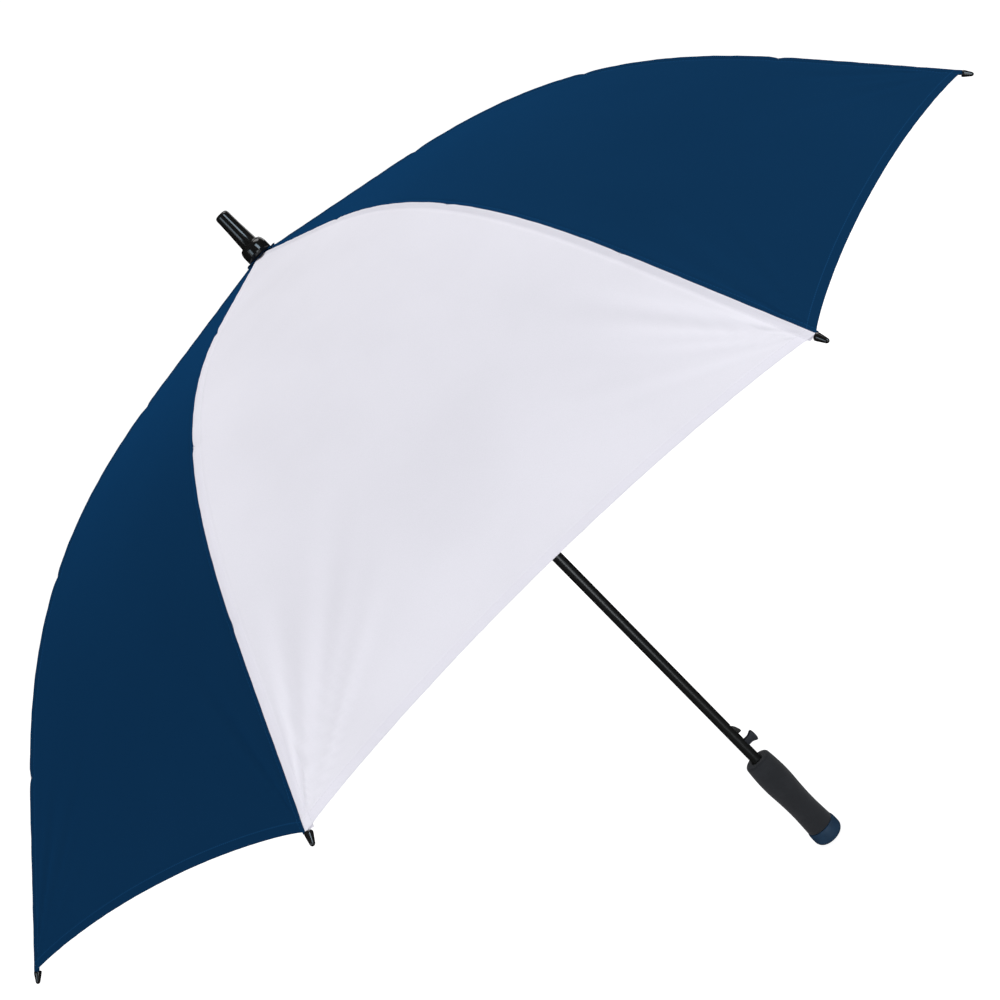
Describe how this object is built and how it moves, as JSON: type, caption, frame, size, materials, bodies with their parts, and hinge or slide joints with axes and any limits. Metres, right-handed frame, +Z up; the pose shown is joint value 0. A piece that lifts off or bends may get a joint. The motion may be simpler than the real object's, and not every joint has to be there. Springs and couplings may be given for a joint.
{
  "type": "golf umbrella",
  "caption": "Open golf umbrella with navy and white cloth panels, straight shaft, hinged ribs and stretchers, sliding runner, push-button latch and a straight foam grip.",
  "frame": {"origin": "centre of the flat bottom of the handle's end cap, on the shaft's axis", "axes": "+Z up the shaft to the ferrule; +X towards the latch and push button; a white panel faces -Y; ribs stand at 22.5 degrees plus multiples of 45"},
  "size_m": [1.1956, 1.1956, 0.9679],
  "materials": {
    "navy_cloth": "matt woven polyester",
    "white_cloth": "matt woven polyester",
    "black_plastic": "glossy moulded plastic",
    "rib_fibreglass": "satin black glass fibre",
    "shaft_enamel": "glossy black enamel on steel",
    "steel": "plain bright steel",
    "foam": "fine-celled matt foam",
    "cap_plastic": "smooth dark blue plastic"
  },
  "bodies": {
    "shaft": {"shaft_tube": "shaft_enamel", "ferrule": "black_plastic", "top_rosette": "navy_cloth", "top_notch": "black_plastic", "notch_wire": "steel", "notch_pin": "steel", "foam_grip": "foam", "grip_core": "black_plastic", "end_cap": "cap_plastic"},
    "runner": {"runner": "black_plastic", "runner_wire": "steel", "drive_plunger": "steel", "opening_spring": "steel"},
    "rib_1": {"inner_rib_1": "rib_fibreglass", "panel_1_navy": "navy_cloth"},
    "rib_tip_1": {"outer_rib_1": "rib_fibreglass", "tip_cap_1": "black_plastic"},
    "stretcher_1": {"stretcher_1": "rib_fibreglass"},
    "rib_2": {"inner_rib_2": "rib_fibreglass", "panel_2_white": "white_cloth"},
    "rib_tip_2": {"outer_rib_2": "rib_fibreglass", "tip_cap_2": "black_plastic", "tie_strap": "navy_cloth"},
    "stretcher_2": {"stretcher_2": "rib_fibreglass"},
    "rib_3": {"inner_rib_3": "rib_fibreglass", "panel_3_navy": "navy_cloth"},
    "rib_tip_3": {"outer_rib_3": "rib_fibreglass", "tip_cap_3": "black_plastic"},
    "stretcher_3": {"stretcher_3": "rib_fibreglass"},
    "rib_4": {"inner_rib_4": "rib_fibreglass", "panel_4_white": "white_cloth"},
    "rib_tip_4": {"outer_rib_4": "rib_fibreglass", "tip_cap_4": "black_plastic"},
    "stretcher_4": {"stretcher_4": "rib_fibreglass"},
    "rib_5": {"inner_rib_5": "rib_fibreglass", "panel_5_navy": "navy_cloth"},
    "rib_tip_5": {"outer_rib_5": "rib_fibreglass", "tip_cap_5": "black_plastic"},
    "stretcher_5": {"stretcher_5": "rib_fibreglass"},
    "rib_6": {"inner_rib_6": "rib_fibreglass", "panel_6_white": "white_cloth"},
    "rib_tip_6": {"outer_rib_6": "rib_fibreglass", "tip_cap_6": "black_plastic"},
    "stretcher_6": {"stretcher_6": "rib_fibreglass"},
    "rib_7": {"inner_rib_7": "rib_fibreglass", "panel_7_navy": "navy_cloth"},
    "rib_tip_7": {"outer_rib_7": "rib_fibreglass", "tip_cap_7": "black_plastic"},
    "stretcher_7": {"stretcher_7": "rib_fibreglass"},
    "rib_8": {"inner_rib_8": "rib_fibreglass", "panel_8_white": "white_cloth"},
    "rib_tip_8": {"outer_rib_8": "rib_fibreglass", "tip_cap_8": "black_plastic"},
    "stretcher_8": {"stretcher_8": "rib_fibreglass"},
    "button": {"push_button": "black_plastic"},
    "latch": {"latch": "steel", "latch_spring": "steel"}
  },
  "joints": [
    {"name": "runner_slide", "type": "slide", "parent": "shaft", "child": "runner", "axis": [0, 0, -1], "range_m": [0, 0.4009], "stiffness_N_per_m": 60, "springref_m": -0.25, "deforming": ["opening_spring", "panel_1_navy", "panel_2_white", "panel_3_navy", "panel_4_white", "panel_5_navy", "panel_6_white", "panel_7_navy", "panel_8_white"]},
    {"name": "rib_hinge_1", "type": "hinge", "parent": "shaft", "child": "rib_1", "pos_m": [0.01201, 0.00498, 0.90575], "axis": [-0.3827, 0.9239, 0], "range_deg": [0, 76.02]},
    {"name": "rib_flex_1", "type": "hinge", "parent": "rib_1", "child": "rib_tip_1", "pos_m": [0.29413, 0.12183, 0.83975], "axis": [-0.3827, 0.9239, 0], "range_deg": [-25.3, 0]},
    {"name": "stretcher_hinge_1", "type": "hinge", "parent": "rib_1", "child": "stretcher_1", "pos_m": [0.29211, 0.121, 0.83417], "axis": [-0.3827, 0.9239, 0], "range_deg": [-131.52, 0]},
    {"name": "rib_hinge_2", "type": "hinge", "parent": "shaft", "child": "rib_2", "pos_m": [0.00498, 0.01201, 0.90575], "axis": [-0.9239, 0.3827, 0], "range_deg": [0, 76.02]},
    {"name": "rib_flex_2", "type": "hinge", "parent": "rib_2", "child": "rib_tip_2", "pos_m": [0.12183, 0.29413, 0.83975], "axis": [-0.9239, 0.3827, 0], "range_deg": [-25.3, 0]},
    {"name": "stretcher_hinge_2", "type": "hinge", "parent": "rib_2", "child": "stretcher_2", "pos_m": [0.121, 0.29211, 0.83417], "axis": [-0.9239, 0.3827, 0], "range_deg": [-131.52, 0]},
    {"name": "rib_hinge_3", "type": "hinge", "parent": "shaft", "child": "rib_3", "pos_m": [-0.00498, 0.01201, 0.90575], "axis": [-0.9239, -0.3827, 0], "range_deg": [0, 76.02]},
    {"name": "rib_flex_3", "type": "hinge", "parent": "rib_3", "child": "rib_tip_3", "pos_m": [-0.12183, 0.29413, 0.83975], "axis": [-0.9239, -0.3827, 0], "range_deg": [-25.3, 0]},
    {"name": "stretcher_hinge_3", "type": "hinge", "parent": "rib_3", "child": "stretcher_3", "pos_m": [-0.121, 0.29211, 0.83417], "axis": [-0.9239, -0.3827, 0], "range_deg": [-131.52, 0]},
    {"name": "rib_hinge_4", "type": "hinge", "parent": "shaft", "child": "rib_4", "pos_m": [-0.01201, 0.00498, 0.90575], "axis": [-0.3827, -0.9239, 0], "range_deg": [0, 76.02]},
    {"name": "rib_flex_4", "type": "hinge", "parent": "rib_4", "child": "rib_tip_4", "pos_m": [-0.29413, 0.12183, 0.83975], "axis": [-0.3827, -0.9239, 0], "range_deg": [-25.3, 0]},
    {"name": "stretcher_hinge_4", "type": "hinge", "parent": "rib_4", "child": "stretcher_4", "pos_m": [-0.29211, 0.121, 0.83417], "axis": [-0.3827, -0.9239, 0], "range_deg": [-131.52, 0]},
    {"name": "rib_hinge_5", "type": "hinge", "parent": "shaft", "child": "rib_5", "pos_m": [-0.01201, -0.00498, 0.90575], "axis": [0.3827, -0.9239, 0], "range_deg": [0, 76.02]},
    {"name": "rib_flex_5", "type": "hinge", "parent": "rib_5", "child": "rib_tip_5", "pos_m": [-0.29413, -0.12183, 0.83975], "axis": [0.3827, -0.9239, 0], "range_deg": [-25.3, 0]},
    {"name": "stretcher_hinge_5", "type": "hinge", "parent": "rib_5", "child": "stretcher_5", "pos_m": [-0.29211, -0.121, 0.83417], "axis": [0.3827, -0.9239, 0], "range_deg": [-131.52, 0]},
    {"name": "rib_hinge_6", "type": "hinge", "parent": "shaft", "child": "rib_6", "pos_m": [-0.00498, -0.01201, 0.90575], "axis": [0.9239, -0.3827, 0], "range_deg": [0, 76.02]},
    {"name": "rib_flex_6", "type": "hinge", "parent": "rib_6", "child": "rib_tip_6", "pos_m": [-0.12183, -0.29413, 0.83975], "axis": [0.9239, -0.3827, 0], "range_deg": [-25.3, 0]},
    {"name": "stretcher_hinge_6", "type": "hinge", "parent": "rib_6", "child": "stretcher_6", "pos_m": [-0.121, -0.29211, 0.83417], "axis": [0.9239, -0.3827, 0], "range_deg": [-131.52, 0]},
    {"name": "rib_hinge_7", "type": "hinge", "parent": "shaft", "child": "rib_7", "pos_m": [0.00498, -0.01201, 0.90575], "axis": [0.9239, 0.3827, 0], "range_deg": [0, 76.02]},
    {"name": "rib_flex_7", "type": "hinge", "parent": "rib_7", "child": "rib_tip_7", "pos_m": [0.12183, -0.29413, 0.83975], "axis": [0.9239, 0.3827, 0], "range_deg": [-25.3, 0]},
    {"name": "stretcher_hinge_7", "type": "hinge", "parent": "rib_7", "child": "stretcher_7", "pos_m": [0.121, -0.29211, 0.83417], "axis": [0.9239, 0.3827, 0], "range_deg": [-131.52, 0]},
    {"name": "rib_hinge_8", "type": "hinge", "parent": "shaft", "child": "rib_8", "pos_m": [0.01201, -0.00498, 0.90575], "axis": [0.3827, 0.9239, 0], "range_deg": [0, 76.02]},
    {"name": "rib_flex_8", "type": "hinge", "parent": "rib_8", "child": "rib_tip_8", "pos_m": [0.29413, -0.12183, 0.83975], "axis": [0.3827, 0.9239, 0], "range_deg": [-25.3, 0]},
    {"name": "stretcher_hinge_8", "type": "hinge", "parent": "rib_8", "child": "stretcher_8", "pos_m": [0.29211, -0.121, 0.83417], "axis": [0.3827, 0.9239, 0], "range_deg": [-131.52, 0]},
    {"name": "button_press", "type": "slide", "parent": "shaft", "child": "button", "axis": [-1, 0, 0], "range_m": [0, 0.0042], "stiffness_N_per_m": 300, "springref_m": -0.002},
    {"name": "latch_retract", "type": "slide", "parent": "shaft", "child": "latch", "axis": [-1, 0, 0], "range_m": [0, 0.0042], "deforming": ["latch_spring"]}
  ],
  "couplings": [
    {"joint": "rib_hinge_1", "follows": "runner_slide", "rad_per_m": 3.3094},
    {"joint": "rib_flex_1", "follows": "runner_slide", "rad_per_m": -1.1016},
    {"joint": "stretcher_hinge_1", "follows": "runner_slide", "rad_per_m": -5.7258},
    {"joint": "rib_hinge_2", "follows": "runner_slide", "rad_per_m": 3.3094},
    {"joint": "rib_flex_2", "follows": "runner_slide", "rad_per_m": -1.1016},
    {"joint": "stretcher_hinge_2", "follows": "runner_slide", "rad_per_m": -5.7258},
    {"joint": "rib_hinge_3", "follows": "runner_slide", "rad_per_m": 3.3094},
    {"joint": "rib_flex_3", "follows": "runner_slide", "rad_per_m": -1.1016},
    {"joint": "stretcher_hinge_3", "follows": "runner_slide", "rad_per_m": -5.7258},
    {"joint": "rib_hinge_4", "follows": "runner_slide", "rad_per_m": 3.3094},
    {"joint": "rib_flex_4", "follows": "runner_slide", "rad_per_m": -1.1016},
    {"joint": "stretcher_hinge_4", "follows": "runner_slide", "rad_per_m": -5.7258},
    {"joint": "rib_hinge_5", "follows": "runner_slide", "rad_per_m": 3.3094},
    {"joint": "rib_flex_5", "follows": "runner_slide", "rad_per_m": -1.1016},
    {"joint": "stretcher_hinge_5", "follows": "runner_slide", "rad_per_m": -5.7258},
    {"joint": "rib_hinge_6", "follows": "runner_slide", "rad_per_m": 3.3094},
    {"joint": "rib_flex_6", "follows": "runner_slide", "rad_per_m": -1.1016},
    {"joint": "stretcher_hinge_6", "follows": "runner_slide", "rad_per_m": -5.7258},
    {"joint": "rib_hinge_7", "follows": "runner_slide", "rad_per_m": 3.3094},
    {"joint": "rib_flex_7", "follows": "runner_slide", "rad_per_m": -1.1016},
    {"joint": "stretcher_hinge_7", "follows": "runner_slide", "rad_per_m": -5.7258},
    {"joint": "rib_hinge_8", "follows": "runner_slide", "rad_per_m": 3.3094},
    {"joint": "rib_flex_8", "follows": "runner_slide", "rad_per_m": -1.1016},
    {"joint": "stretcher_hinge_8", "follows": "runner_slide", "rad_per_m": -5.7258},
    {"joint": "latch_retract", "follows": "button_press", "ratio": 1}
  ]
}
